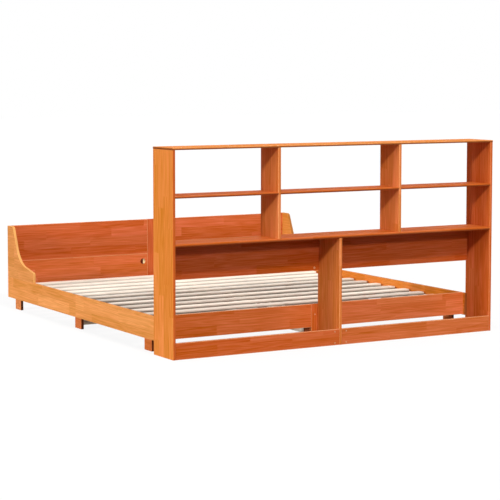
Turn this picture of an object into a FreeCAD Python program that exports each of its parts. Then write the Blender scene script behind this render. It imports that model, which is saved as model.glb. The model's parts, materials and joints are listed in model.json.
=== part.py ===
import FreeCAD, Part
import os
import Sketcher

# Storage bed frame: a slatted double bed between a low winged foot end and an open bookcase.
# X runs across the bed, +Y from the bookcase towards the foot end, +Z up.
# The origin is on the floor under the middle of the frame. Sizes are millimetres.
DIMENSIONS = {
    # Bed
    "mattress_width": 2000,
    "inner_length": 2037,
    "rail_thickness": 16,
    "rail_height": 130,
    "rail_bottom": 67,
    "rail_lap": 16,
    "end_thickness": 16,
    "head_board_lift": 3.5,
    "head_post_width": 100,
    "foot_post_width": 80,
    "foot_board_height": 226,
    "wing_height": 322,
    "wing_flat": 84,
    "wing_knee_run": 179,
    "wing_knee_height": 101,
    "wing_length": 407,
    "wing_tip_height": 60,
    "wing_top_radius": 28,
    "wing_knee_radius": 185,
    "wing_tip_radius": 15,
    "cup_radius": 17.5,
    "cup_depth": 12,
    "cup_from_middle": 73,
    "cup_height": 243,
    # Supports
    "support_top": 146,
    "leg_thickness": 16,
    "leg_width": 88,
    "head_leg_place": 354,
    "foot_leg_inset": 126,
    "beam_thickness": 16,
    "beam_height": 127,
    "splice_width": 160,
    "splice_thickness": 16,
    "centre_leg_spread": 450,
    "centre_leg_height": 130,
    "bracket_length": 88,
    "bracket_height": 42,
    "ledger_height": 58,
    "slat_width": 60,
    "slat_thickness": 14,
    "slat_corner_radius": 14,
    "slat_end_gap": 9,
    "slat_head_inset": 74,
    "slat_foot_inset": 126,
    # Bookcase
    "bookcase_height": 1100,
    "bookcase_depth": 225,
    "panel_thickness": 16,
    "top_thickness": 11,
    "shelf_depth": 190,
    "shelf_thickness": 12,
    "shelf_height": 851,
    "divider_thickness": 16,
    "divider_place": 390,
    "deck_height": 602,
    "deck_thickness": 15,
    "apron_thickness": 16,
    "apron_height": 206,
    "apron_lap": 8,
    "plinth_thickness": 16,
    "plinth_height": 88,
    "cleat_width": 50,
    "cleat_depth": 30,
    "cleat_height": 80,
    # Fasteners
    "screw_radius": 2,
    "screw_length": 24,
    "screw_head_radius": 4.5,
    "screw_head_height": 1.6,
    "screw_seat_clearance": 0.4,
    "screw_edge_gap": 13,
    "plinth_screw_place": 37,
    "post_screw_place": 25.5,
    "post_screw_height": 142,
    "cam_radius": 7.5,
    "cam_depth": 12,
    "cam_clearance": 0.2,
    "cam_from_side": 32,
    "cam_from_edge": 16,
    # Rounded edges: shelves and uprights, and boards that lie edge to edge
    "soft_edge": 3.5,
    "fine_edge": 1.5,
}
SLAT_COUNT = 13

doc = FreeCAD.newDocument("bed_frame")
sheet = doc.addObject("Spreadsheet::Sheet", "dims")
for row, (alias, size) in enumerate(DIMENSIONS.items(), start=1):
    sheet.set(f"A{row}", alias)
    sheet.set(f"B{row}", str(size))
    sheet.setAlias(f"B{row}", alias)
doc.recompute()

# Places that several pieces share, as expressions on the sheet
LENGTH = "(dims.bookcase_depth + 2 * dims.end_thickness + dims.inner_length)"
FRONT = f"(0 - {LENGTH} / 2)"
FOOT_END = f"({LENGTH} / 2)"
BOOKCASE_BACK = f"({FRONT} + dims.bookcase_depth)"
APRON_FRONT = f"({BOOKCASE_BACK} - dims.apron_thickness)"
HEAD_BOARD_BACK = f"({BOOKCASE_BACK} + dims.end_thickness)"
FOOT_BOARD_FRONT = f"({FOOT_END} - dims.end_thickness)"
RAIL_START = f"({BOOKCASE_BACK} - dims.rail_lap)"
CROSS_LINE = f"({HEAD_BOARD_BACK} + dims.inner_length / 2)"
CROSS_FRONT = f"({CROSS_LINE} - dims.beam_thickness / 2)"
CROSS_BACK = f"({CROSS_LINE} + dims.beam_thickness / 2)"
BED_INSIDE = "(dims.mattress_width / 2)"
BED_OUTSIDE = f"({BED_INSIDE} + dims.rail_thickness)"
LEG_INSIDE = f"({BED_INSIDE} - dims.leg_thickness)"
CASE_OUTSIDE = f"({BED_OUTSIDE} + dims.panel_thickness)"
HALF_HEAD_POST = "(dims.head_post_width / 2)"
HALF_FOOT_POST = "(dims.foot_post_width / 2)"
SPLICE_BACK = f"({HEAD_BOARD_BACK} + dims.splice_thickness)"
HALF_DIVIDER = "(dims.divider_thickness / 2)"
RAIL_TOP = "(dims.rail_bottom + dims.rail_height)"
HEAD_BOARD_BOTTOM = "(dims.rail_bottom + dims.head_board_lift)"
HEAD_BOARD_TOP = f"({HEAD_BOARD_BOTTOM} + dims.rail_height)"
BEAM_BOTTOM = "(dims.support_top - dims.beam_height)"
LEG_TOP = "(dims.support_top - dims.ledger_height)"
TOP_BOARD_UNDER = "(dims.bookcase_height - dims.top_thickness)"
SHELF_UNDER = "(dims.shelf_height - dims.shelf_thickness)"
DECK_UNDER = "(dims.deck_height - dims.deck_thickness)"
APRON_TOP = f"({DECK_UNDER} + dims.apron_lap)"
APRON_BOTTOM = f"({APRON_TOP} - dims.apron_height)"
PLINTH_SCREW_HEIGHTS = {
    "low": "dims.screw_edge_gap",
    "high": "dims.plinth_height - dims.screw_edge_gap",
}
SIDES = {"left": -1, "right": 1}

pieces = []


def place(piece, x, y, z):
    """Ties a piece's position to the sheet."""
    for axis, expression in zip("xyz", (x, y, z)):
        piece.setExpression(f"Placement.Base.{axis}", expression)


def start_body(label):
    """Makes the body of one piece and lists it for writing."""
    body = doc.addObject("PartDesign::Body", label)
    body.Label = label
    pieces.append(body)
    return body


def start_sketch(body, name, role):
    """Makes a sketch on one of the body's own origin planes."""
    sketch = body.newObject("Sketcher::SketchObject", name)
    plane = next(item for item in body.Origin.OriginFeatures if item.Role == role)
    sketch.AttachmentSupport = [(plane, "")]
    sketch.MapMode = "FlatFace"
    return sketch


def measure(sketch, name, kind, refs, guess, expression):
    """Adds a named measure to a sketch and ties it to the sheet."""
    index = sketch.addConstraint(Sketcher.Constraint(kind, *refs, guess))
    sketch.renameConstraint(index, name)
    sketch.setExpression(f"Constraints.{name}", expression)


def chain(sketch, points):
    """Draws a closed outline of straight lines and returns their numbers."""
    count = len(points)
    lines = []
    for index, (x, y) in enumerate(points):
        next_x, next_y = points[(index + 1) % count]
        start = FreeCAD.Vector(x, y, 0)
        end = FreeCAD.Vector(next_x, next_y, 0)
        lines.append(sketch.addGeometry(Part.LineSegment(start, end), False))
    for index, line in enumerate(lines):
        following = lines[(index + 1) % count]
        sketch.addConstraint(Sketcher.Constraint("Coincident", line, 2, following, 1))
    return lines


def rectangle(sketch, width, height, unit):
    """Draws a rectangle from the sketch's origin, with its sides tied to the sheet."""
    low, right, high, left = chain(sketch, [(0, 0), (unit, 0), (unit, unit), (0, unit)])
    for line in (low, high):
        sketch.addConstraint(Sketcher.Constraint("Horizontal", line))
    for line in (right, left):
        sketch.addConstraint(Sketcher.Constraint("Vertical", line))
    sketch.addConstraint(Sketcher.Constraint("Coincident", low, 1, -1, 1))
    measure(sketch, "width", "DistanceX", (low, 1, low, 2), unit, width)
    measure(sketch, "height", "DistanceY", (right, 1, right, 2), unit, height)


def long_edges(shape, along):
    """Names the straight edges of a shape that run in one direction."""
    names = []
    for number, edge in enumerate(shape.Edges, start=1):
        direction = edge.tangentAt(edge.FirstParameter)
        if edge.Curve.TypeId == "Part::GeomLine" and abs(direction.dot(along)) > 0.99:
            names.append(f"Edge{number}")
    return names


# A board's section is drawn square to its length, and these are the planes to draw it on.
SECTION_PLANES = {"x": "YZ_Plane", "y": "XZ_Plane", "z": "XY_Plane"}
AXES = {"x": FreeCAD.Vector(1, 0, 0), "y": FreeCAD.Vector(0, 1, 0), "z": FreeCAD.Vector(0, 0, 1)}


def board(label, along, low, high, edge="dims.soft_edge", corner=None):
    """Makes a board between two opposite corners, with its four long edges rounded.

    A lying board can also have its four corners rounded, as seen from above.
    """
    body = start_body(label)
    size = [f"({end}) - ({start})" for start, end in zip(low, high)]
    sides = {"x": (1, 2), "y": (0, 2), "z": (0, 1)}[along]
    section = start_sketch(body, "section", SECTION_PLANES[along])
    rectangle(section, size[sides[0]], size[sides[1]], DIMENSIONS["leg_width"])
    length = body.newObject("PartDesign::Pad", "length")
    length.Profile = section
    length.setExpression("Length", size["xyz".index(along)])
    # The XZ plane faces -Y, so a section drawn on it is pushed the other way.
    length.Reversed = along == "y"
    section.Visibility = False
    doc.recompute()
    blank = length
    if corner:
        blank = body.newObject("PartDesign::Fillet", "corners")
        blank.Base = (length, long_edges(length.Shape, AXES["z"]))
        blank.setExpression("Radius", corner)
        doc.recompute()
    rounding = body.newObject("PartDesign::Fillet", "rounding")
    rounding.Base = (blank, long_edges(blank.Shape, AXES[along]))
    rounding.setExpression("Radius", edge)
    place(body, *low)
    return body


def round_pocket(body, name, role, across, up, radius, depth):
    """Sinks a blind round hole into the face that lies on one of the body's origin planes."""
    doc.recompute()
    solid_before = body.Shape.Volume
    sketch = start_sketch(body, name + "_circle", role)
    unit = DIMENSIONS["leg_width"]
    centre = FreeCAD.Vector(unit, unit, 0)
    circle = sketch.addGeometry(Part.Circle(centre, FreeCAD.Vector(0, 0, 1), unit), False)
    measure(sketch, "radius", "Radius", (circle,), unit, radius)
    measure(sketch, "across", "DistanceX", (-1, 1, circle, 3), unit, across)
    measure(sketch, "up", "DistanceY", (-1, 1, circle, 3), unit, up)
    pocket = body.newObject("PartDesign::Pocket", name)
    pocket.Profile = sketch
    pocket.setExpression("Length", depth)
    pocket.Reversed = False
    sketch.Visibility = False
    doc.recompute()
    if body.Shape.Volume > solid_before - 1:
        pocket.Reversed = True
        doc.recompute()
    if body.Shape.Volume > solid_before - 1:
        raise RuntimeError(f"{body.Label}: {name} cuts nothing")


def group(label, members):
    """Keeps several small identical solids together as one piece."""
    compound = doc.addObject("Part::Compound", label)
    compound.Label = label
    compound.Links = members
    pieces.append(compound)


def mirrored(side, inner, outer):
    """Gives the lower and upper X of a piece that lies from inner to outer on one side."""
    if side == "left":
        return f"0 - ({outer})", f"0 - ({inner})"
    return inner, outer


# Bookcase
def bookcase():
    for side in SIDES:
        low, high = mirrored(side, BED_OUTSIDE, CASE_OUTSIDE)
        board(f"bookcase_side_{side}", "z", (low, FRONT, "0"), (high, BOOKCASE_BACK, TOP_BOARD_UNDER))
    board(
        "bookcase_top", "x",
        (f"0 - {CASE_OUTSIDE}", FRONT, TOP_BOARD_UNDER),
        (CASE_OUTSIDE, BOOKCASE_BACK, "dims.bookcase_height"),
    )
    board(
        "bookcase_deck", "x",
        (f"0 - {BED_OUTSIDE}", FRONT, DECK_UNDER),
        (BED_OUTSIDE, APRON_FRONT, "dims.deck_height"),
    )
    shelf_back = f"{FRONT} + dims.shelf_depth"
    divider_inside = f"(dims.divider_place - {HALF_DIVIDER})"
    divider_outside = f"(dims.divider_place + {HALF_DIVIDER})"
    for side in SIDES:
        low, high = mirrored(side, divider_inside, divider_outside)
        board(
            f"bookcase_divider_{side}", "z",
            (low, FRONT, "dims.deck_height"), (high, shelf_back, TOP_BOARD_UNDER),
        )
        low, high = mirrored(side, divider_outside, BED_OUTSIDE)
        board(
            f"bookcase_shelf_{side}", "x",
            (low, FRONT, SHELF_UNDER), (high, shelf_back, "dims.shelf_height"),
        )
    board(
        "bookcase_shelf_middle", "x",
        (f"0 - {divider_inside}", FRONT, SHELF_UNDER), (divider_inside, shelf_back, "dims.shelf_height"),
    )
    board(
        "bookcase_centre_panel", "z",
        (f"0 - {HALF_DIVIDER}", FRONT, "0"), (HALF_DIVIDER, BOOKCASE_BACK, DECK_UNDER),
    )
    cleats = []
    for side in SIDES:
        low, high = mirrored(side, HALF_DIVIDER, BED_OUTSIDE)
        plinth_back = f"{FRONT} + dims.plinth_thickness"
        plinth = board(
            f"bookcase_plinth_{side}", "x",
            (low, FRONT, "0"), (high, plinth_back, "dims.plinth_height"),
            edge="dims.fine_edge",
        )
        from_side = f"dims.plinth_screw_place - {HALF_DIVIDER}"
        if side == "left":
            from_side = f"{BED_OUTSIDE} - dims.plinth_screw_place"
        for name, height in PLINTH_SCREW_HEIGHTS.items():
            round_pocket(
                plinth, f"{name}_screw_seat", "XZ_Plane", from_side, height,
                "dims.screw_head_radius + dims.screw_seat_clearance", "dims.screw_head_height",
            )
        apron = board(
            f"bookcase_apron_{side}", "x",
            (low, APRON_FRONT, APRON_BOTTOM), (high, BOOKCASE_BACK, APRON_TOP),
            edge="dims.fine_edge",
        )
        from_side = "dims.cam_from_side"
        if side == "left":
            from_side = f"{BED_OUTSIDE} - {HALF_DIVIDER} - dims.cam_from_side"
        round_pocket(
            apron, "cam_seat", "XZ_Plane", from_side, "dims.cam_from_edge",
            "dims.cam_radius", "dims.cam_depth",
        )
        low, high = mirrored(side, HALF_DIVIDER, f"{HALF_DIVIDER} + dims.cleat_width")
        cleat = doc.addObject("Part::Box", f"cleat_{side}")
        cleat.setExpression("Length", "dims.cleat_width")
        cleat.setExpression("Width", "dims.cleat_depth")
        cleat.setExpression("Height", "dims.cleat_height")
        place(cleat, low, plinth_back, "0")
        cleats.append(cleat)
    group("plinth_cleats", cleats)


# Side rails in two lengths, with a wing on the foot end of each
def wing(side):
    """Cuts the end cheek: a tall flat, a slope, a hollow knee and a low tail."""
    body = start_body(f"wing_{side}")
    outline = start_sketch(body, "outline", "YZ_Plane")
    corners = ("wing_length", "wing_knee_run", "wing_flat")
    tail, knee, flat = (-DIMENSIONS[alias] for alias in corners)
    heights = ("wing_tip_height", "wing_knee_height", "wing_height")
    tip_rise, knee_rise, rise = (DIMENSIONS[alias] for alias in heights)
    points = [(0, 0), (0, rise), (flat, rise), (knee, knee_rise), (tail, tip_rise), (tail, 0)]
    back, top, slope, tail_top, tail_end, base = chain(outline, points)
    outline.addConstraint(Sketcher.Constraint("Coincident", back, 1, -1, 1))
    for line in (back, tail_end):
        outline.addConstraint(Sketcher.Constraint("Vertical", line))
    for line in (top, base):
        outline.addConstraint(Sketcher.Constraint("Horizontal", line))
    measure(outline, "rise", "DistanceY", (back, 1, back, 2), rise, "dims.wing_height")
    measure(outline, "flat", "DistanceX", (slope, 1, -1, 1), -flat, "dims.wing_flat")
    measure(outline, "knee", "DistanceX", (slope, 2, -1, 1), -knee, "dims.wing_knee_run")
    measure(outline, "knee_rise", "DistanceY", (-1, 1, slope, 2), knee_rise, "dims.wing_knee_height")
    measure(outline, "tail", "DistanceX", (tail_end, 2, -1, 1), -tail, "dims.wing_length")
    measure(outline, "tip", "DistanceY", (tail_end, 2, tail_end, 1), tip_rise, "dims.wing_tip_height")
    cheek = body.newObject("PartDesign::Pad", "cheek")
    cheek.Profile = outline
    cheek.setExpression("Length", "dims.rail_thickness")
    outline.Visibility = False
    doc.recompute()
    rounded = [(flat, rise, "top"), (knee, knee_rise, "knee"), (tail, tip_rise, "tip")]
    base_feature = cheek
    for y, z, name in rounded:
        corner = [
            f"Edge{number}" for number, edge in enumerate(base_feature.Shape.Edges, start=1)
            if all(abs(end.Y - y) < 1 and abs(end.Z - z) < 1 for end in edge.Vertexes)
        ]
        base_feature_next = body.newObject("PartDesign::Fillet", f"{name}_round")
        base_feature_next.Base = (base_feature, corner)
        base_feature_next.setExpression("Radius", f"dims.wing_{name}_radius")
        base_feature = base_feature_next
        doc.recompute()
    low, _ = mirrored(side, BED_INSIDE, BED_OUTSIDE)
    place(body, low, FOOT_END, RAIL_TOP)


def side_rails():
    for side in SIDES:
        low, high = mirrored(side, BED_INSIDE, BED_OUTSIDE)
        lengths = {"head": (RAIL_START, CROSS_LINE), "foot": (CROSS_LINE, FOOT_END)}
        for end, (start, stop) in lengths.items():
            board(
                f"side_rail_{side}_{end}", "y",
                (low, start, "dims.rail_bottom"), (high, stop, RAIL_TOP),
                edge="dims.fine_edge",
            )
        wing(side)


# Head boards against the bookcase and the higher foot end, each with a post in the middle
def bed_ends():
    board(
        "head_post", "z",
        (f"0 - {HALF_HEAD_POST}", BOOKCASE_BACK, "0"), (HALF_HEAD_POST, HEAD_BOARD_BACK, HEAD_BOARD_TOP),
        edge="dims.fine_edge",
    )
    board(
        "head_splice", "z",
        ("0 - dims.splice_width / 2", HEAD_BOARD_BACK, BEAM_BOTTOM),
        ("dims.splice_width / 2", SPLICE_BACK, "dims.support_top"),
        edge="dims.fine_edge",
    )
    joint_height = "(dims.rail_bottom + dims.foot_board_height)"
    foot_top = f"({joint_height} + dims.foot_board_height)"
    board(
        "foot_post", "z",
        (f"0 - {HALF_FOOT_POST}", FOOT_BOARD_FRONT, "0"), (HALF_FOOT_POST, FOOT_END, foot_top),
        edge="dims.fine_edge",
    )
    for side in SIDES:
        low, high = mirrored(side, HALF_HEAD_POST, BED_INSIDE)
        board(
            f"head_board_{side}", "x",
            (low, BOOKCASE_BACK, HEAD_BOARD_BOTTOM), (high, HEAD_BOARD_BACK, HEAD_BOARD_TOP),
            edge="dims.fine_edge",
        )
        low, high = mirrored(side, HALF_FOOT_POST, BED_INSIDE)
        lower = board(
            f"foot_board_lower_{side}", "x",
            (low, FOOT_BOARD_FRONT, "dims.rail_bottom"), (high, FOOT_END, joint_height),
            edge="dims.fine_edge",
        )
        across = f"dims.cup_from_middle - {HALF_FOOT_POST}"
        if side == "left":
            across = f"{BED_INSIDE} - dims.cup_from_middle"
        round_pocket(
            lower, "connector_cup", "XZ_Plane", across, "dims.cup_height - dims.rail_bottom",
            "dims.cup_radius", "dims.cup_depth",
        )
        board(
            f"foot_board_upper_{side}", "x",
            (low, FOOT_BOARD_FRONT, joint_height), (high, FOOT_END, foot_top),
            edge="dims.fine_edge",
        )


# Legs, beams, ledger strips and slats under the mattress
def leg_lines():
    """Gives the middle of each side leg along Y."""
    return {
        "head": f"({FRONT} + dims.head_leg_place)",
        "middle": CROSS_LINE,
        "foot": f"({FOOT_END} - dims.foot_leg_inset)",
    }


def supports():
    for side in SIDES:
        low, high = mirrored(side, LEG_INSIDE, BED_INSIDE)
        for name, line in leg_lines().items():
            board(
                f"leg_{side}_{name}", "z",
                (low, f"{line} - dims.leg_width / 2", "0"),
                (high, f"{line} + dims.leg_width / 2", LEG_TOP),
                edge="dims.fine_edge",
            )
        board(
            f"slat_ledger_{side}", "y",
            (low, HEAD_BOARD_BACK, LEG_TOP), (high, FOOT_BOARD_FRONT, "dims.support_top"),
            edge="dims.fine_edge",
        )
    beam_left = "0 - dims.beam_thickness"
    leg_left = f"{beam_left} - dims.leg_thickness"
    beam_lengths = {
        "head": (SPLICE_BACK, CROSS_FRONT, "-"),
        "foot": (CROSS_BACK, FOOT_BOARD_FRONT, "+"),
    }
    for end, (start, stop, sign) in beam_lengths.items():
        board(
            f"centre_beam_{end}", "y",
            (beam_left, start, BEAM_BOTTOM), ("0", stop, "dims.support_top"),
            edge="dims.fine_edge",
        )
        line = f"{CROSS_LINE} {sign} dims.centre_leg_spread"
        board(
            f"centre_leg_{end}", "z",
            (leg_left, f"{line} - dims.leg_width / 2", "0"),
            (beam_left, f"{line} + dims.leg_width / 2", "dims.centre_leg_height"),
            edge="dims.fine_edge",
        )
    board(
        "beam_bracket", "y",
        (leg_left, f"{CROSS_FRONT} - dims.bracket_length", "dims.centre_leg_height - dims.bracket_height"),
        (beam_left, CROSS_FRONT, "dims.centre_leg_height"),
        edge="dims.fine_edge",
    )
    splice = "0 - dims.beam_thickness / 2"
    cross_lengths = {"left": (f"0 - {LEG_INSIDE}", splice), "right": (splice, LEG_INSIDE)}
    for side, (start, stop) in cross_lengths.items():
        board(
            f"cross_beam_{side}", "x",
            (start, CROSS_FRONT, BEAM_BOTTOM), (stop, CROSS_BACK, "dims.support_top"),
            edge="dims.fine_edge",
        )


def slats():
    """Lays the slats at an even pitch between a short head inset and a longer foot inset."""
    reach = f"({BED_INSIDE} - dims.slat_end_gap)"
    first = f"({HEAD_BOARD_BACK} + dims.slat_head_inset)"
    last = f"({FOOT_BOARD_FRONT} - dims.slat_foot_inset)"
    for number in range(SLAT_COUNT):
        line = f"({first} + ({last} - {first}) * {number} / {SLAT_COUNT - 1})"
        board(
            f"slat_{number + 1:02d}", "x",
            (f"0 - {reach}", f"{line} - dims.slat_width / 2", "dims.support_top"),
            (reach, f"{line} + dims.slat_width / 2", "dims.support_top + dims.slat_thickness"),
            corner="dims.slat_corner_radius",
        )


# Fasteners: identical screws and cams, each kind one group of separate solids
def cylinder(name, radius, height):
    rod = doc.addObject("Part::Cylinder", name)
    rod.setExpression("Radius", radius)
    rod.setExpression("Height", height)
    return rod


def screw(name, direction, x, y, z):
    """Makes a flat-head screw that starts at a point, its head first, and runs into the wood."""
    shank = cylinder(name + "_shank", "dims.screw_radius", "dims.screw_length + dims.screw_head_height")
    head = cylinder(name + "_head", "dims.screw_head_radius", "dims.screw_head_height")
    whole = doc.addObject("Part::Fuse", name)
    whole.Base = shank
    whole.Tool = head
    upright = FreeCAD.Vector(0, 0, 1)
    whole.Placement.Rotation = FreeCAD.Rotation(upright, direction)
    place(whole, x, y, z)
    return whole


def fasteners():
    inward = FreeCAD.Vector(0, 1, 0)
    screws = []
    for side, sign in SIDES.items():
        for height_name, height in PLINTH_SCREW_HEIGHTS.items():
            across = f"({sign}) * dims.plinth_screw_place"
            name = f"plinth_screw_{side}_{height_name}"
            screws.append(screw(name, inward, across, FRONT, height))

    # These heads stand proud, so each screw starts a head's height before its face.
    post_start = f"{BOOKCASE_BACK} - dims.screw_head_height"
    screws.append(
        screw("post_screw", inward, "0 - dims.post_screw_place", post_start, "dims.post_screw_height")
    )
    for side, sign in SIDES.items():
        outward = FreeCAD.Vector(sign, 0, 0)
        leg_face = f"({sign}) * ({LEG_INSIDE} - dims.screw_head_height)"
        for end, line in leg_lines().items():
            for sense in ("-", "+"):
                along = f"{line} {sense} (dims.leg_width / 2 - 2 * dims.screw_edge_gap)"
                name = f"leg_screw_{side}_{end}_{'near' if sense == '-' else 'far'}"
                height = f"(dims.rail_bottom + {LEG_TOP}) / 2"
                screws.append(screw(name, outward, leg_face, along, height))
    group("wood_screws", screws)

    cams = []
    for side, sign in SIDES.items():
        cam = cylinder(f"cam_{side}", "dims.cam_radius - dims.cam_clearance", "dims.cam_depth")
        cam.Placement.Rotation = FreeCAD.Rotation(FreeCAD.Vector(0, 0, 1), inward)
        across = f"({sign}) * ({HALF_DIVIDER} + dims.cam_from_side)"
        place(cam, across, APRON_FRONT, f"{APRON_BOTTOM} + dims.cam_from_edge")
        cams.append(cam)
    group("apron_cams", cams)


def write_pieces():
    """Checks every object, then writes one file for each piece."""
    doc.recompute()
    for item in doc.Objects:
        if "Invalid" in item.State or "Error" in item.State:
            raise RuntimeError(f"{item.Label} failed: {item.State}")
    for piece in pieces:
        if piece.Shape.isNull() or not piece.Shape.isValid():
            raise RuntimeError(f"{piece.Label} has no valid shape")
    os.makedirs("parts", exist_ok=True)
    for piece in pieces:
        piece.Shape.exportStep(f"parts/{piece.Label}.step")
    print(len(pieces), "pieces written")


bookcase()
side_rails()
bed_ends()
supports()
slats()
fasteners()
write_pieces()
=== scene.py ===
import json
import math

import bmesh
import bpy
from mathutils import Matrix, Vector

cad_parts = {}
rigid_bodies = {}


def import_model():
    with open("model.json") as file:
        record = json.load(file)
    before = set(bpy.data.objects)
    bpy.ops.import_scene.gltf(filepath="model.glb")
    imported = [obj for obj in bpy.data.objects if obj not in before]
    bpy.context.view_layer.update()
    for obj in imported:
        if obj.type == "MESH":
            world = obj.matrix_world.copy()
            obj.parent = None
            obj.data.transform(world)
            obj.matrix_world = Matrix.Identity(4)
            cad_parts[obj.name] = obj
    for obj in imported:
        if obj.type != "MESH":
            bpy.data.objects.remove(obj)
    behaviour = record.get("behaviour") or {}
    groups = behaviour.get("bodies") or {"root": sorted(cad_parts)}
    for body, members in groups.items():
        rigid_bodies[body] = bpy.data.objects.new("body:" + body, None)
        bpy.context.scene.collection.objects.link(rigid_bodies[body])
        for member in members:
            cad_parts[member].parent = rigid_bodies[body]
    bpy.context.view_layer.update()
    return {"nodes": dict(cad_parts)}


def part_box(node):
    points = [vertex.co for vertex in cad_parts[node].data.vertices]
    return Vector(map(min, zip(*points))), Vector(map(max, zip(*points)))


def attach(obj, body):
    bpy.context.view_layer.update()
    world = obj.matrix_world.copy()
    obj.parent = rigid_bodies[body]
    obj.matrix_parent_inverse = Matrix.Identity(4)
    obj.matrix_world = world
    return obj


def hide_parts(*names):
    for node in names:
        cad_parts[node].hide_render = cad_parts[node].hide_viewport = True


# Storage bed frame: colours, light and small detail over the CAD boards. Metres, +Z up, +Y to the foot end.
for leftover in list(bpy.data.objects):
    bpy.data.objects.remove(leftover, do_unlink=True)

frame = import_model()
nodes = frame["nodes"]

# Camera, fitted to the photograph's edges in its 500 pixel square. Its angles are in degrees.
IMAGE_PIXELS = 500
FOCAL_PIXELS = 1713.15
SENSOR = 36.0
CAMERA_PLACE = (-5.0769, -8.9418, 1.5016)
CAMERA_TURN = 30.015
CAMERA_TILT = 4.686
CAMERA_ROLL = -0.031
CAMERA_SHIFT = -0.08
DOWN_TO_LEVEL = 90
VIEW_REACH = 100


def camera():
    data = bpy.data.cameras.new("camera")
    data.sensor_width = SENSOR
    data.lens = SENSOR * FOCAL_PIXELS / IMAGE_PIXELS
    data.shift_y = CAMERA_SHIFT
    data.clip_end = VIEW_REACH
    body = bpy.data.objects.new("camera", data)
    turn = Matrix.Rotation(-math.radians(CAMERA_TURN), 4, "Z")
    tilt = Matrix.Rotation(math.radians(DOWN_TO_LEVEL - CAMERA_TILT), 4, "X")
    roll = Matrix.Rotation(-math.radians(CAMERA_ROLL), 4, "Z")
    body.matrix_world = Matrix.Translation(CAMERA_PLACE) @ turn @ tilt @ roll
    bpy.context.collection.objects.link(body)
    bpy.context.scene.camera = body


# Light. Each level is the share of a written colour that the lamp gives a face square to it,
# and each softness is the lamp's width in degrees.
LAMPS = {
    "front_high": {"towards": (0.0, -0.777, 0.629), "level": 0.38, "softness": 3.5},
    "front_low": {"towards": (0.0, -0.948, 0.317), "level": 0.31, "softness": 4},
    "front_wide": {"towards": (0.0, -1.0, 0.25), "level": 0.11, "softness": 60},
    "side_key": {"towards": (-0.90, -0.25, 0.19), "level": 0.34, "softness": 3},
    "side_low": {"towards": (-0.97, -0.045, 0.20), "level": 0.43, "softness": 8},
    "side_back": {"towards": (-0.8, 0.6, 0.1), "level": 0.07, "softness": 40, "glare": False},
    "side_wide": {"towards": (-0.8, -0.6, 0.1), "level": 0.03, "softness": 60},
    "overhead": {"towards": (-0.05, -0.05, 1.0), "level": 0.27, "softness": 60, "glare": False},
    "back": {"towards": (0.62, 0.78, 0.10), "level": 0.55, "softness": 30, "glare": False},
}
SKY_HORIZON = 0.0
SKY_ZENITH = 0.46


def lamps():
    for name, lamp in LAMPS.items():
        data = bpy.data.lights.new(name, "SUN")
        data.energy = lamp["level"] * math.pi
        data.angle = math.radians(lamp["softness"])
        body = bpy.data.objects.new(name, data)
        body.rotation_mode = "QUATERNION"
        body.rotation_quaternion = Vector(lamp["towards"]).to_track_quat("Z", "Y")
        body.visible_glossy = lamp.get("glare", True)
        bpy.context.collection.objects.link(body)


# The sockets of the colour mix node share their names, so they are reached by number.
MIX_SHARE = 0
MIX_FIRST = 6
MIX_SECOND = 7
MIX_RESULT = 2
NOISE_ROUGHNESS = 0.5


class Nodes:
    """Short ways to add and link the nodes of one tree."""

    def __init__(self, tree):
        self.tree = tree

    def add(self, kind, inputs=None, **settings):
        node = self.tree.nodes.new(kind)
        for key, value in settings.items():
            setattr(node, key, value)
        for key, value in (inputs or {}).items():
            socket = node.inputs[key]
            if isinstance(value, bpy.types.NodeSocket):
                self.tree.links.new(value, socket)
            else:
                socket.default_value = value
        return node

    def math(self, operation, first, second=0.0):
        return self.add("ShaderNodeMath", {0: first, 1: second}, operation=operation).outputs[0]

    def vector_math(self, operation, first, second):
        inputs = {0: first, 1: second}
        return self.add("ShaderNodeVectorMath", inputs, operation=operation).outputs["Vector"]

    def dot(self, first, second):
        inputs = {0: first, 1: second}
        return self.add("ShaderNodeVectorMath", inputs, operation="DOT_PRODUCT").outputs["Value"]

    def length(self, vector):
        return self.add("ShaderNodeVectorMath", {0: vector}, operation="LENGTH").outputs["Value"]

    def split(self, vector):
        return self.add("ShaderNodeSeparateXYZ", {0: vector}).outputs[:]

    def join(self, x, y, z):
        return self.add("ShaderNodeCombineXYZ", {0: x, 1: y, 2: z}).outputs[0]

    def mix(self, share, first, second):
        inputs = {MIX_SHARE: share, MIX_FIRST: first, MIX_SECOND: second}
        return self.add("ShaderNodeMix", inputs, data_type="RGBA").outputs[MIX_RESULT]

    def ramp(self, value, low, high, low_out=0.0, high_out=1.0):
        inputs = {0: value, 1: low, 2: high, 3: low_out, 4: high_out}
        return self.add("ShaderNodeMapRange", inputs).outputs[0]

    def noise(self, place, scale, detail, roughness=NOISE_ROUGHNESS):
        inputs = {"Vector": place, "Scale": scale, "Detail": detail, "Roughness": roughness}
        return self.add("ShaderNodeTexNoise", inputs).outputs[0]


def new_group(name, inputs, outputs):
    """Makes an empty node group with the sockets it takes and gives."""
    tree = bpy.data.node_groups.new(name, "ShaderNodeTree")
    for direction, sockets in {"INPUT": inputs, "OUTPUT": outputs}.items():
        for socket, kind in sockets.items():
            tree.interface.new_socket(socket, in_out=direction, socket_type=f"NodeSocket{kind}")
    return tree


def new_material(name):
    """Makes a material with an empty tree, and gives it and the way to fill it."""
    material = bpy.data.materials.new(name)
    material.use_nodes = True
    material.node_tree.nodes.clear()
    return material, Nodes(material.node_tree)


def is_seen(build):
    """Gives 1 for rays that see a backdrop straight, in a gloss or through glass."""
    path = build.add("ShaderNodeLightPath").outputs
    seen = build.math("MAXIMUM", path["Is Camera Ray"], path["Is Glossy Ray"])
    return build.math("MAXIMUM", seen, path["Is Transmission Ray"])


WHITE = (1, 1, 1, 1)


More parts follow.
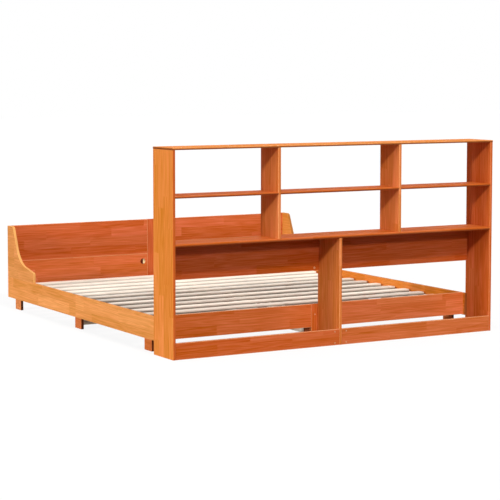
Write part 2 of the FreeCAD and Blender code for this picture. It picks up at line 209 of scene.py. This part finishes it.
def sky():
    world = bpy.data.worlds.new("studio")
    bpy.context.scene.world = world
    world.use_nodes = True
    world.node_tree.nodes.clear()
    build = Nodes(world.node_tree)
    direction = build.add("ShaderNodeTexCoord").outputs["Generated"]
    height = build.split(direction)[2]
    level = build.ramp(height, 0.0, 1.0, SKY_HORIZON, SKY_ZENITH)
    light = build.add("ShaderNodeBackground", {"Color": WHITE, "Strength": level})
    white = build.add("ShaderNodeBackground", {"Color": WHITE, "Strength": 1.0})
    shown = build.add("ShaderNodeMixShader", {0: is_seen(build), 1: light.outputs[0], 2: white.outputs[0]})
    build.add("ShaderNodeOutputWorld", {"Surface": shown.outputs[0]})


# The floor shows nearly white, and a small share of its own shading keeps the shadow.
FLOOR_SHADOW_SHARE = 0.13
FLOOR_REACH = 40.0
FLOOR_BOUNCE = (0.25, 0.25, 0.25, 1)


def floor():
    mesh = bpy.data.meshes.new("floor")
    maker = bmesh.new()
    bmesh.ops.create_grid(maker, x_segments=1, y_segments=1, size=FLOOR_REACH)
    maker.to_mesh(mesh)
    maker.free()
    ground = bpy.data.objects.new("floor", mesh)
    bpy.context.collection.objects.link(ground)
    material, build = new_material("floor_white")
    seen = is_seen(build)
    tone = build.mix(seen, FLOOR_BOUNCE, WHITE)
    matt = build.add("ShaderNodeBsdfDiffuse", {"Color": tone})
    white = build.add("ShaderNodeEmission", {"Color": WHITE, "Strength": 1.0})
    share = build.math("MULTIPLY", seen, 1 - FLOOR_SHADOW_SHARE)
    shown = build.add("ShaderNodeMixShader", {0: share, 1: matt.outputs[0], 2: white.outputs[0]})
    build.add("ShaderNodeOutputMaterial", {"Surface": shown.outputs[0]})
    mesh.materials.append(material)


# Colours in sRGB steps of 255. Each kind's colour is matched to how that board looks in its own light, so the
# kinds are partly lit and shaded copies of one stained pine: right_panel, splice, inner_leg and beam are
# darkened with painted shade, and far_leg is lightened with a painted lit face.
COLOUR_STEPS = 255
SRGB_KNEE = 0.04045
SRGB_SLOPE = 12.92
SRGB_OFFSET = 0.055
SRGB_POWER = 2.4
PINE = {
    "outer": (220, 130, 55),
    "top": (220, 130, 52),
    "divider": (210, 118, 57),
    "right_panel": (198, 95, 43),
    "rail": (223, 145, 76),
    "right_rail": (210, 122, 46),
    "wing": (214, 139, 74),
    "right_wing": (198, 127, 51),
    "board": (196, 93, 47),
    "lower_board": (204, 103, 55),
    "post": (192, 86, 38),
    "head": (198, 97, 42),
    "right_head": (209, 108, 57),
    "plinth": (192, 90, 41),
    "right_plinth": (198, 102, 54),
    "apron": (178, 79, 32),
    "deck": (209, 107, 41),
    "leg": (198, 105, 50),
    "far_leg": (214, 130, 74),
    "splice": (116, 58, 30),
    "inner_leg": (150, 78, 40),
    "bare": (254, 242, 226),
    "beam": (190, 172, 148),
}
# Painted highlight along the board edges, standing for light caught by the rounded edges
EDGE_HIGHLIGHT = (255, 206, 150)
CUT_END = (116, 58, 28)
# Painted highlight on the wing's cut ends and side faces
WING_EDGE_HIGHLIGHT = (242, 186, 110)
# Painted shade at the lower corners of edges, on stained and on bare wood
LOWER_CORNER_SHADE = (96, 34, 14)
BARE_CORNER_SHADE = (92, 66, 46)
CUP_LINING = (255, 232, 184)
YELLOW_ZINC = (216, 152, 106)
# Painted shade on the side faces of some kinds of board, and a painted highlight on the wing's
SIDE_SHADE_AND_HIGHLIGHT = {
    "outer": (181, 78, 27),
    "wing": WING_EDGE_HIGHLIGHT,
    "top": (190, 90, 40),
    "deck": (164, 70, 28),
    "leg": (84, 38, 20),
    "far_leg": (84, 38, 20),
    "bare": (150, 126, 104),
}


def opaque(colour):
    """Turns sRGB steps into an opaque linear colour, by the sRGB curve."""
    linear = []
    for step in colour:
        level = step / COLOUR_STEPS
        if level <= SRGB_KNEE:
            linear.append(level / SRGB_SLOPE)
        else:
            linear.append(((level + SRGB_OFFSET) / (1 + SRGB_OFFSET)) ** SRGB_POWER)
    return (*linear, 1)


# Staves: their lengths, how many lengths one stave may be shifted by, and the fingers that join them
STAVE_LENGTH = 0.46
STAVE_SHIFT = 9.0
FINGER_WIDTH = 0.004
FINGER_REACH = 0.00736
# How far apart in the trees two lengths may be cut
TREE_SPREAD = (37.0, 37.0, 37.0)
# Grain is noise, made finer by these factors along, across and through the board.
FIGURE = {"fineness": (0.35, 7.0, 7.0), "scale": 3.0, "detail": 2.0}
STREAKS = {"fineness": (1.0, 60.0, 60.0), "scale": 4.0, "detail": 4.0}
PORES = {"fineness": (8.0, 420.0, 420.0), "scale": 3.0, "detail": 2.0}
GRAIN_ROUGHNESS = 0.6
RING_COUNT = 9.0
RING_HALF = 0.5
# How much a length's own tone may go either way, and how much each part of the grain changes it
# from the grain's darkest to its lightest
STAVE_TONE = 0.085
RING_TONE = 0.15
STREAK_TONE = 0.56
PORE_TONE = 0.16
MIDDLE = 0.5
# How much the hue of a length may turn, and how much of its tone goes off the saturation
HUE_SPREAD = 0.0015
SATURATION_SHARE = 0.24
# Glue lines: their half width as a share of the stave, their strength and their linear colour
GLUE_WIDTH_SHARE = 0.012
GLUE_STRENGTH = 0.28
GLUE_COLOUR = (0.20, 0.06, 0.02, 1)
STREAK_RANGE = (0.3, 0.7)
ROUGHNESS_RANGE = (0.60, 0.72)
PORE_RELIEF = 0.5


def pine_pattern():
    """Edge-glued, finger-jointed staves: a tone for each length of stave, grain, streaks and glue lines."""
    takes = {"Place": "Vector", "Colour": "Color", "Seed": "Float", "Stave": "Float", "Contrast": "Float"}
    gives = {"Colour": "Color", "Gloss": "Float", "Relief": "Float"}
    tree = new_group("pine_pattern", takes, gives)
    build = Nodes(tree)
    given = build.add("NodeGroupInput").outputs
    along, across = build.split(given["Place"])[:2]

    # Which stave, and which length of it: the ends of the lengths are cut as short fingers.
    stave_place = build.math("ADD", build.math("DIVIDE", across, given["Stave"]), given["Seed"])
    stave = build.math("FLOOR", stave_place)
    shift_seed = build.math("ADD", stave, given["Seed"])
    shift = build.add("ShaderNodeTexWhiteNoise", {"W": shift_seed}, noise_dimensions="1D").outputs[0]
    finger = build.math("PINGPONG", across, FINGER_WIDTH)
    finger_slope = FINGER_REACH / FINGER_WIDTH / STAVE_LENGTH
    length_place = build.math("MULTIPLY", along, 1 / STAVE_LENGTH)
    length_place = build.math("ADD", length_place, build.math("MULTIPLY", shift, STAVE_SHIFT))
    length_place = build.math("ADD", length_place, build.math("MULTIPLY", finger, finger_slope))
    cell = build.join(stave, build.math("FLOOR", length_place), given["Seed"])
    dice = build.add("ShaderNodeTexWhiteNoise", {"Vector": cell}, noise_dimensions="3D").outputs["Color"]
    tone_chance, hue_chance = build.split(dice)[:2]

    # Each length is cut from another part of the tree.
    moved = build.vector_math("ADD", given["Place"], build.vector_math("MULTIPLY", dice, TREE_SPREAD))

    def grain(fineness, scale, detail):
        squeezed = build.vector_math("MULTIPLY", moved, fineness)
        return build.noise(squeezed, scale, detail, GRAIN_ROUGHNESS)

    rings = build.math("PINGPONG", build.math("MULTIPLY", grain(**FIGURE), RING_COUNT), RING_HALF)
    rings = build.ramp(rings, 0.0, RING_HALF)
    streaks = grain(**STREAKS)
    pores = grain(**PORES)

    # Tone of the whole length, then the grain on top
    def swing(signal, strength):
        return build.math("MULTIPLY", build.math("SUBTRACT", signal, MIDDLE), strength)

    tone = build.ramp(tone_chance, 0.0, 1.0, -STAVE_TONE, STAVE_TONE)
    for signal, strength in ((rings, RING_TONE), (streaks, STREAK_TONE), (pores, PORE_TONE)):
        tone = build.math("ADD", tone, swing(signal, strength))
    tone = build.math("MULTIPLY", tone, given["Contrast"])
    toned = build.add("ShaderNodeHueSaturation", {
        "Color": given["Colour"],
        "Hue": build.ramp(hue_chance, 0.0, 1.0, MIDDLE - HUE_SPREAD, MIDDLE + HUE_SPREAD),
        "Saturation": build.math("SUBTRACT", 1.0, build.math("MULTIPLY", tone, SATURATION_SHARE)),
        "Value": build.math("ADD", 1.0, tone),
    }).outputs[0]

    from_middle = build.math("ABSOLUTE", build.math("SUBTRACT", build.math("FRACT", stave_place), MIDDLE))
    glue = build.ramp(from_middle, MIDDLE - GLUE_WIDTH_SHARE, MIDDLE, 0.0, GLUE_STRENGTH)
    build.add("NodeGroupOutput", {
        "Colour": build.mix(glue, toned, GLUE_COLOUR),
        "Gloss": build.ramp(streaks, *STREAK_RANGE, *ROUGHNESS_RANGE),
        "Relief": build.math("ADD", streaks, build.math("MULTIPLY", pores, PORE_RELIEF)),
    })
    return tree


# How far the painted edge highlight and the painted shade of the lower corners reach over a board
EDGE_REACH = 0.0024
UNDER_REACH = 0.011
BARE_UNDER_REACH = 0.010
# Between these shares of its reach, each fades out. The painted edge highlight is ragged.
HIGHLIGHT_FADE_SHARES = (0.3, 1.0)
UNDER_FADE_SHARES = (0.2, 1.0)
RAGGED_SCALE = 160.0
RAGGED_DETAIL = 2.0
RAGGED_LEAST = 0.5
# From the first to the second of these cosines, a face comes to count as facing a direction.
FACING_RANGE = (0.5, 0.85)
# The connector cup in a lower foot board: just outside the bore, just under its floor, its axis,
# and the stretch beside the axis over which its lining goes from bare wood to painted shadow
CUP_RADIUS = 0.0178
CUP_DEPTH = 0.0125
CUP_FROM_MIDDLE = 0.073
CUP_HEIGHT = 0.243
CUP_BARE_RANGE = (-0.010, -0.004)
ACROSS_CUP = (1, 0, 1)


def pine_finish():
    """Colours a board's edges with a painted highlight, its cut ends, its side faces and lower corners with
    painted shade (the wing's side faces with a painted highlight), and its connector cup with bare wood and
    painted shadow.
    """
    takes = {
        "Place": "Vector", "Low": "Vector", "High": "Vector", "Grain": "Vector", "Side": "Vector",
        "Colour": "Color", "Highlight Colour": "Color", "Highlight": "Float", "End": "Float", "End Colour": "Color",
        "Edgewise": "Float", "Edge Colour": "Color", "Under": "Float", "Under Reach": "Float",
        "Under Colour": "Color", "Cup": "Vector", "Lining": "Float", "Lining Colour": "Color",
    }
    tree = new_group("pine_finish", takes, {"Colour": "Color"})
    build = Nodes(tree)
    given = build.add("NodeGroupInput").outputs

    # The second smallest distance to the board's faces is the distance to its nearest edge;
    # the end faces are put a metre away, so that only the edges along the grain take the painted highlight.
    from_low = build.vector_math("SUBTRACT", given["Place"], given["Low"])
    from_high = build.vector_math("SUBTRACT", given["High"], given["Place"])
    nearest = build.vector_math("MINIMUM", from_low, from_high)
    one, two, three = build.split(build.vector_math("ADD", nearest, given["Grain"]))
    smaller = build.math("MINIMUM", one, two)
    larger = build.math("MAXIMUM", one, two)
    to_edge = build.math("MAXIMUM", smaller, build.math("MINIMUM", larger, three))
    ragged = build.noise(given["Place"], RAGGED_SCALE, RAGGED_DETAIL)
    reach = build.math("MULTIPLY", build.math("ADD", ragged, RAGGED_LEAST), EDGE_REACH)
    highlight = build.ramp(build.math("DIVIDE", to_edge, reach), *HIGHLIGHT_FADE_SHARES, 1.0, 0.0)

    # Faces across the grain are cut ends; faces at the sides take painted shade, and on the wing a painted
    # highlight.
    face = build.add("ShaderNodeNewGeometry").outputs["True Normal"]

    def facing(direction):
        return build.ramp(build.math("ABSOLUTE", build.dot(face, direction)), *FACING_RANGE)

    cut = facing(given["Grain"])
    edge = facing(given["Side"])

    # Painted shade: the lower corner of a lying board's edge is darker.
    from_front, above = build.split(from_low)[1:]
    under = build.ramp(build.math("DIVIDE", above, given["Under Reach"]), *UNDER_FADE_SHARES, 1.0, 0.0)
    under = build.math("MULTIPLY", under, build.math("MAXIMUM", edge, cut))

    # The connector cup is bare wood towards the post and painted shadow elsewhere.
    flat = build.vector_math("SUBTRACT", given["Place"], given["Cup"])
    flat = build.vector_math("MULTIPLY", flat, ACROSS_CUP)
    within = build.math("LESS_THAN", build.length(flat), CUP_RADIUS)
    inside = build.math("MULTIPLY", within, build.math("LESS_THAN", from_front, CUP_DEPTH))
    outward = build.math("SIGN", build.split(given["Cup"])[0])
    sideways = build.math("MULTIPLY", build.split(flat)[0], outward)
    bare_side = build.ramp(sideways, *CUP_BARE_RANGE, 1.0, 0.0)
    lining_and_shadow = build.mix(bare_side, given["Under Colour"], given["Lining Colour"])

    coloured = given["Colour"]
    for share, strength, colour in (
        (cut, "End", given["End Colour"]),
        (edge, "Edgewise", given["Edge Colour"]),
        (highlight, "Highlight", given["Highlight Colour"]),
        (under, "Under", given["Under Colour"]),
        (inside, "Lining", lining_and_shadow),
    ):
        coloured = build.mix(build.math("MULTIPLY", share, given[strength]), coloured, colour)
    build.add("NodeGroupOutput", {"Colour": coloured})
    return tree


# Colour, stave width and contrast of each kind of board, by the start of its node's name.
# The first row that fits is taken.
BOARD_KINDS = {
    "bookcase_side_left": ("outer", 0.056, 1.0),
    "bookcase_side_right": ("right_panel", 0.056, 1.0),
    "bookcase_divider": ("divider", 0.056, 1.0),
    "bookcase_centre_panel": ("divider", 0.056, 1.0),
    "bookcase_top": ("top", 0.056, 1.0),
    "bookcase_apron": ("apron", 0.052, 1.0),
    "bookcase_plinth_left": ("plinth", 0.052, 1.0),
    "bookcase_plinth_right": ("right_plinth", 0.052, 1.0),
    "bookcase": ("deck", 0.052, 1.0),
    "plinth_cleats": ("plinth", 0.052, 1.0),
    "side_rail_left": ("rail", 0.065, 1.0),
    "side_rail_right": ("right_rail", 0.065, 1.0),
    "wing_left": ("wing", 0.065, 1.0),
    "wing_right": ("right_wing", 0.065, 1.0),
    "foot_post": ("post", 0.080, 1.0),
    "foot_board_lower": ("lower_board", 0.057, 1.0),
    "head_board_right": ("right_head", 0.057, 1.0),
    "head_splice": ("splice", 0.057, 1.0),
    "head": ("head", 0.057, 1.0),
    "leg_left_foot": ("far_leg", 0.057, 1.0),
    "leg": ("leg", 0.057, 1.0),
    "centre_leg": ("inner_leg", 0.057, 1.0),
    "beam_bracket": ("inner_leg", 0.057, 1.0),
    "slat_ledger": ("bare", 0.060, 0.4),
    "slat": ("bare", 0.090, 0.4),
    "centre_beam": ("bare", 0.065, 0.4),
    "cross_beam": ("beam", 0.065, 0.4),
    "": ("board", 0.057, 1.0),
}
# By shade, from 0 to 1: how strong the painted edge highlight is, and how much the cut ends, the side faces
# (painted shade, on the wing a painted highlight) and the lower corners (painted shade) take their colour
FINISH = {
    "outer": (0.05, 0.4, 0.85, 0.0),
    "top": (0.60, 0.4, 0.15, 0.90),
    "divider": (0.65, 0.4, 0.0, 0.0),
    "right_panel": (0.35, 0.4, 0.0, 0.0),
    "rail": (0.08, 0.7, 0.0, 0.0),
    "right_rail": (0.25, 0.8, 0.0, 0.0),
    "wing": (0.10, 0.5, 0.5, 0.0),
    "right_wing": (0.15, 0.4, 0.0, 0.0),
    "board": (0.50, 0.3, 0.0, 0.0),
    "lower_board": (0.30, 0.3, 0.0, 0.0),
    "post": (0.65, 0.3, 0.0, 0.0),
    "head": (0.60, 0.4, 0.0, 0.0),
    "right_head": (0.60, 0.4, 0.0, 0.0),
    "plinth": (0.65, 0.3, 0.0, 0.0),
    "right_plinth": (0.60, 0.3, 0.0, 0.0),
    "apron": (0.70, 0.3, 0.0, 0.0),
    "deck": (0.04, 0.4, 0.35, 0.85),
    "leg": (0.05, 0.4, 0.85, 0.0),
    "far_leg": (0.05, 0.4, 0.85, 0.0),
    "splice": (0.0, 0.4, 0.0, 0.0),
    "inner_leg": (0.0, 0.4, 0.0, 0.0),
    "bare": (0.0, 0.2, 0.28, 1.0),
    "beam": (0.0, 0.2, 0.0, 0.0),
}
DIRECTIONS = {"x": (1, 0, 0), "y": (0, 1, 0), "z": (0, 0, 1)}
AXES = list(DIRECTIONS)
UNSTAINED = ("bare", "beam")
LEGS = ("leg", "far_leg")
SLATS = sorted(name for name in nodes if name.startswith(("slat_0", "slat_1")))
METAL = ("wood_screws", "apron_cams")
FIRST_SEED = 3.17
SEED_STEP = 1.37
GRAIN_BUMP = 0.25
GRAIN_HEIGHT = 0.0004
PINE_SPECULAR = 0.06


def board_axes(node):
    """Gives a board's directions, longest first: along the grain, across it and through the board."""
    low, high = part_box(node)
    size = {axis: high[index] - low[index] for index, axis in enumerate(AXES)}
    return sorted(size, key=size.get, reverse=True)


def slat_nearness(node):
    """Gives 1 for the slat at the bookcase and 0 for the one at the foot end, and 0.5 for what is no slat."""
    return 1 - SLATS.index(node) / (len(SLATS) - 1) if node in SLATS else MIDDLE


def finish_values(node, shade, directions):
    """Gives what pine_finish takes for one board."""
    low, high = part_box(node)
    highlight, end, edgewise, under = FINISH[shade]
    under_reach = UNDER_REACH
    if shade in UNSTAINED:
        # Painted shade: slats nearer the bookcase get darker side faces and lower corners.
        nearness = slat_nearness(node)
        edgewise *= nearness
        under *= (1 + nearness) / 2
        under_reach = BARE_UNDER_REACH * (1 + nearness) / 2
    half = -1 if node.endswith("left") else 1
    return {
        "Low": low, "High": high, "Grain": DIRECTIONS[directions[0]],
        # Legs take their painted shade on the faces towards Y.
        "Side": DIRECTIONS["y" if shade in LEGS else directions[1]],
        "Highlight": highlight, "Highlight Colour": opaque(EDGE_HIGHLIGHT),
        "End": end, "End Colour": opaque(WING_EDGE_HIGHLIGHT if shade == "wing" else CUT_END),
        "Edgewise": edgewise, "Edge Colour": opaque(SIDE_SHADE_AND_HIGHLIGHT.get(shade, CUT_END)),
        "Under": under, "Under Reach": under_reach,
        "Under Colour": opaque(BARE_CORNER_SHADE if shade in UNSTAINED else LOWER_CORNER_SHADE),
        "Cup": (half * CUP_FROM_MIDDLE, 0, CUP_HEIGHT),
        "Lining": 1.0 if node.startswith("foot_board_lower") else 0.0, "Lining Colour": opaque(CUP_LINING),
    }


def pine_material(node, pattern, finish, seed):
    kind = next(start for start in BOARD_KINDS if node.startswith(start))
    shade, stave, contrast = BOARD_KINDS[kind]
    directions = board_axes(node)
    material, build = new_material(f"pine_{node}")
    place = build.add("ShaderNodeTexCoord").outputs["Object"]
    parts = dict(zip(AXES, build.split(place)))
    wood = build.add("ShaderNodeGroup", {
        "Place": build.join(*[parts[axis] for axis in directions]),
        "Colour": opaque(PINE[shade]), "Seed": seed, "Stave": stave, "Contrast": contrast,
    }, node_tree=pattern).outputs
    taken = {"Place": place, "Colour": wood["Colour"], **finish_values(node, shade, directions)}
    finished = build.add("ShaderNodeGroup", taken, node_tree=finish).outputs["Colour"]
    relief = {"Strength": GRAIN_BUMP, "Distance": GRAIN_HEIGHT, "Height": wood["Relief"]}
    skin = build.add("ShaderNodeBsdfPrincipled", {
        "Base Color": finished,
        "Roughness": wood["Gloss"],
        "Normal": build.add("ShaderNodeBump", relief).outputs[0],
        "Specular IOR Level": PINE_SPECULAR,
    })
    build.add("ShaderNodeOutputMaterial", {"Surface": skin.outputs[0]})
    return material


def dress_boards():
    pattern = pine_pattern()
    finish = pine_finish()
    boards = sorted(name for name in nodes if name not in METAL)
    for number, name in enumerate(boards):
        material = pine_material(name, pattern, finish, FIRST_SEED + number * SEED_STEP)
        for holder in nodes[name].material_slots:
            holder.material = material


# Zinc plate
ZINC_ROUGHNESS = 0.35
ZINC_ROUGHNESS_SPREAD = 0.08
ZINC_METALLIC = 0.3
DULL_SHARE = 0.7
MOTTLE_SCALE = 900.0
MOTTLE_DETAIL = 3.0
MOTTLE_SHADE_RANGE = (0.35, 0.65)
MOTTLE_ROUGHNESS_RANGE = (0.3, 0.7)
MOTTLE_BUMP = 0.1
MOTTLE_HEIGHT = 0.0001


def zinc_material():
    """Zinc plate with faint mottling in its shade, gloss and relief."""
    material, build = new_material("yellow_zinc")
    place = build.add("ShaderNodeTexCoord").outputs["Object"]
    mottle = build.noise(place, MOTTLE_SCALE, MOTTLE_DETAIL)
    bright = opaque(YELLOW_ZINC)
    dull = (*[part * DULL_SHARE for part in bright[:3]], 1)
    least = ZINC_ROUGHNESS - ZINC_ROUGHNESS_SPREAD
    most = ZINC_ROUGHNESS + ZINC_ROUGHNESS_SPREAD
    relief = {"Strength": MOTTLE_BUMP, "Distance": MOTTLE_HEIGHT, "Height": mottle}
    skin = build.add("ShaderNodeBsdfPrincipled", {
        "Base Color": build.mix(build.ramp(mottle, *MOTTLE_SHADE_RANGE), dull, bright),
        "Roughness": build.ramp(mottle, *MOTTLE_ROUGHNESS_RANGE, least, most),
        "Normal": build.add("ShaderNodeBump", relief).outputs[0],
        "Metallic": ZINC_METALLIC,
    })
    build.add("ShaderNodeOutputMaterial", {"Surface": skin.outputs[0]})
    return material


WELD = 0.00001


def solids(node):
    """Gives the box of each separate solid in a node."""
    mesh = bmesh.new()
    mesh.from_mesh(node.data)
    mesh.transform(node.matrix_world)
    bmesh.ops.remove_doubles(mesh, verts=mesh.verts, dist=WELD)
    left = set(mesh.verts)
    boxes = []
    while left:
        newest = [left.pop()]
        solid = list(newest)
        while newest:
            near = {link.other_vert(point) for point in newest for link in point.link_edges}
            newest = list(near & left)
            left -= near
            solid += newest
        places = [point.co.copy() for point in solid]
        low = Vector([min(place[axis] for place in places) for axis in range(3)])
        high = Vector([max(place[axis] for place in places) for axis in range(3)])
        boxes.append((low, high))
    mesh.free()
    return sorted(boxes, key=lambda box: tuple(box[0]))


RING_POINTS = 24
ARMS = 4
RECESS_TAPER_SHARE = 0.6


def recessed_rod(mesh, profile, arm, half_width, depth):
    """Turns a profile of (radius, height) steps below a round face that has a cross recess."""
    rings = []
    for radius, height in profile:
        ring = []
        for step in range(RING_POINTS):
            angle = 2 * math.pi * step / RING_POINTS
            ring.append(mesh.verts.new((radius * math.cos(angle), radius * math.sin(angle), height)))
        rings.append(ring)
    for upper, lower in zip(rings, rings[1:]):
        for step in range(RING_POINTS):
            after = (step + 1) % RING_POINTS
            mesh.faces.new((upper[step], lower[step], lower[after], upper[after]))
    mesh.faces.new(list(reversed(rings[-1])))
    corners = []
    for number in range(ARMS):
        turn = Matrix.Rotation(2 * math.pi * number / ARMS, 3, "Z")
        for x, y in ((arm, -half_width), (arm, half_width), (half_width, half_width)):
            corners.append(turn @ Vector((x, y, 0)))
    taper = RECESS_TAPER_SHARE
    rim = [mesh.verts.new(corner) for corner in corners]
    bed = [mesh.verts.new((corner.x * taper, corner.y * taper, -depth)) for corner in corners]
    rim_edges = []
    for index in range(len(rim)):
        after = (index + 1) % len(rim)
        rim_edges.append(mesh.edges.new((rim[index], rim[after])))
        mesh.faces.new((rim[index], rim[after], bed[after], bed[index]))
    mesh.faces.new(bed)
    face_edges = []
    for step in range(RING_POINTS):
        face_edges.append(mesh.edges.get((rings[0][step], rings[0][(step + 1) % RING_POINTS])))
    bmesh.ops.triangle_fill(mesh, edges=face_edges + rim_edges, use_beauty=True)
    bmesh.ops.recalc_face_normals(mesh, faces=mesh.faces)


# Screws. A pair of shares is a radius and how far down it lies.
SCREW_HEAD_HEIGHT = 0.0016
SCREW_SHANK_RADIUS = 0.002
SCREW_RIDGE = 0.0012
SCREW_RECESS_DEPTH = 0.0011
SCREW_ARM_SHARE = 0.55
SCREW_SLOT_SHARE = 0.13
HEAD_SHARES = ((0.86, 0.0), (0.97, 0.2), (1.0, 0.5), (1.0, 1.0))
VALLEY_SHARE = 0.8
TAPER_SHARE = 0.6
POINT_SHARE = 0.08
RIDGES_OFF_THE_POINT = 3


def screw_profile(head_radius, length):
    """A pan head with a softened rim over a ridged shank with a drawn point."""
    shank = SCREW_SHANK_RADIUS
    steps = [(head_radius * radius, -SCREW_HEAD_HEIGHT * down) for radius, down in HEAD_SHARES]
    steps.append((shank, -SCREW_HEAD_HEIGHT))
    count = int((length - SCREW_HEAD_HEIGHT) / SCREW_RIDGE) - RIDGES_OFF_THE_POINT
    for number in range(count):
        crest = -SCREW_HEAD_HEIGHT - SCREW_RIDGE * (number + 1)
        valley = crest + SCREW_RIDGE / 2
        steps += [(shank * VALLEY_SHARE, valley), (shank, crest)]
    steps += [(shank * TAPER_SHARE, -length + SCREW_RIDGE), (shank * POINT_SHARE, -length)]
    return steps


def one_screw(part, low, high):
    """A screw lies along Y when it enters from the bookcase's front, else along X from the bed's inside."""
    size = high - low
    middle = (low + high) / 2
    if size.y > size.x:
        outward = Vector((0, -1, 0))
        place = Vector((middle.x, low.y, middle.z))
    else:
        side = 1 if middle.x > 0 else -1
        outward = Vector((-side, 0, 0))
        place = Vector((low.x if side > 0 else high.x, middle.y, middle.z))
    radius = size.z / 2
    profile = screw_profile(radius, max(size))
    recessed_rod(part, profile, radius * SCREW_ARM_SHARE, radius * SCREW_SLOT_SHARE, SCREW_RECESS_DEPTH)
    return place, outward


# Cams. A pair of shares is a radius and how far down it lies.
CAM_BEVEL = 0.0006
CAM_RECESS_DEPTH = 0.002
CAM_ARM_SHARE = 0.6
CAM_SLOT_SHARE = 0.12
CAM_SHARES = ((1.0, 0.28), (0.88, 0.34), (0.88, 0.78), (1.0, 0.84), (1.0, 1.0))


def cam_profile(radius, depth):
    """A drum with a bevelled face and a waist."""
    steps = [(radius - CAM_BEVEL, 0.0), (radius, -CAM_BEVEL)]
    return steps + [(radius * share, -depth * down) for share, down in CAM_SHARES]


def one_cam(part, low, high):
    """A cam faces the bookcase's front."""
    middle = (low + high) / 2
    radius = (high.z - low.z) / 2
    profile = cam_profile(radius, high.y - low.y)
    recessed_rod(part, profile, radius * CAM_ARM_SHARE, radius * CAM_SLOT_SHARE, CAM_RECESS_DEPTH)
    return Vector((middle.x, low.y, middle.z)), Vector((0, -1, 0))


def turned_piece(name, node_name, build_one):
    """Makes one detailed piece with a turned part in the place of each solid of a node."""
    whole = bmesh.new()
    for low, high in solids(nodes[node_name]):
        part = bmesh.new()
        place, outward = build_one(part, low, high)
        across = Vector((0, 0, 1))
        turn = Matrix.Identity(3)
        turn.col[0] = across.cross(outward)
        turn.col[1] = across
        turn.col[2] = outward
        part.transform(Matrix.Translation(place) @ turn.to_4x4())
        spare = bpy.data.meshes.new("spare")
        part.to_mesh(spare)
        part.free()
        whole.from_mesh(spare)
        bpy.data.meshes.remove(spare)
    mesh = bpy.data.meshes.new(name)
    whole.to_mesh(mesh)
    whole.free()
    piece = bpy.data.objects.new(name, mesh)
    bpy.context.collection.objects.link(piece)
    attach(piece, "root")
    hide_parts(node_name)
    return piece


def dress_metal():
    zinc = zinc_material()
    screws = turned_piece("cross_head_screws", "wood_screws", one_screw)
    cams = turned_piece("cam_drums", "apron_cams", one_cam)
    for piece in (screws, cams):
        piece.data.materials.append(zinc)


camera()
lamps()
sky()
floor()
dress_boards()
dress_metal()

bpy.context.scene.view_settings.view_transform = "Standard"
